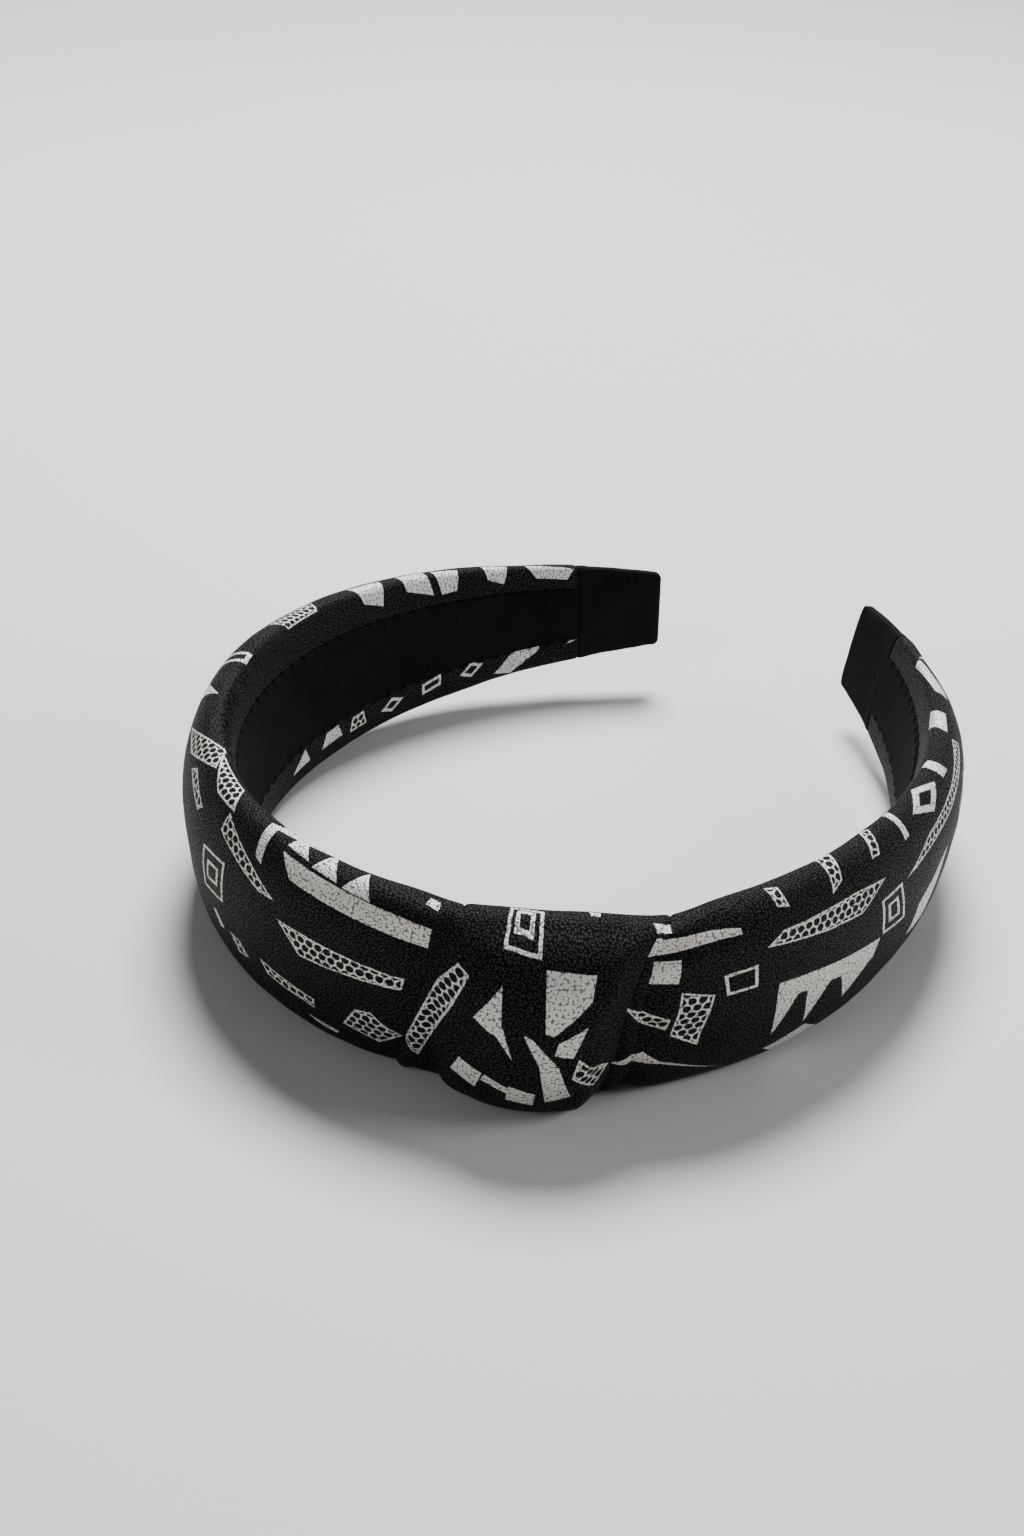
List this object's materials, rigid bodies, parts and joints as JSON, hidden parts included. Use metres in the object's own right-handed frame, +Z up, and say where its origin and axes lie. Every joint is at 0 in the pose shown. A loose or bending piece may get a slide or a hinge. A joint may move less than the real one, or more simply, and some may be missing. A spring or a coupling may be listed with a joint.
{
  "type": "knotted headband",
  "caption": "Padded hoop headband in printed faux leather with a wide knot beside the crown, plain lining and bare fabric-capped tips that spring open.",
  "frame": {"origin": "middle of the hoop's plan, at the level of the surface that the band's lower edge rests on", "axes": "+Z up, along the band's width; the crown and knot are towards -Y and the gap between the tips towards +Y; +X is towards the knot's side"},
  "size_m": [0.1409, 0.1649, 0.0365],
  "materials": {
    "core_plastic": "matt moulded",
    "padding_foam": "open-cell foam",
    "cover_leather": "pebbled faux leather with silver foil print",
    "lining_fabric": "fine ribbed ribbon",
    "thread": "twisted thread"
  },
  "bodies": {
    "crown": {"core_crown": "core_plastic", "pad_crown": "padding_foam", "cover_crown_left": "cover_leather", "cover_crown_right": "cover_leather", "lining_crown": "lining_fabric", "stitches_crown": "thread", "knot_wrap": "cover_leather", "knot_filling": "padding_foam", "knot_under_left": "cover_leather", "knot_under_right": "cover_leather", "knot_tacks": "thread"},
    "left_arm": {"core_left": "core_plastic", "pad_left": "padding_foam", "cover_left": "cover_leather", "lining_left": "lining_fabric", "cap_left": "lining_fabric", "stitches_left": "thread"},
    "right_arm": {"core_right": "core_plastic", "pad_right": "padding_foam", "cover_right": "cover_leather", "lining_right": "lining_fabric", "cap_right": "lining_fabric", "stitches_right": "thread"}
  },
  "joints": [
    {"name": "left_arm_flex", "type": "hinge", "parent": "crown", "child": "left_arm", "pos_m": [-0.05203, -0.04089, 0.0183], "axis": [0, 0, 1], "range_deg": [-4, 14], "stiffness_Nm_per_rad": 0.7},
    {"name": "right_arm_flex", "type": "hinge", "parent": "crown", "child": "right_arm", "pos_m": [0.05063, -0.04089, 0.0183], "axis": [0, 0, -1], "range_deg": [-4, 14], "stiffness_Nm_per_rad": 0.7}
  ]
}
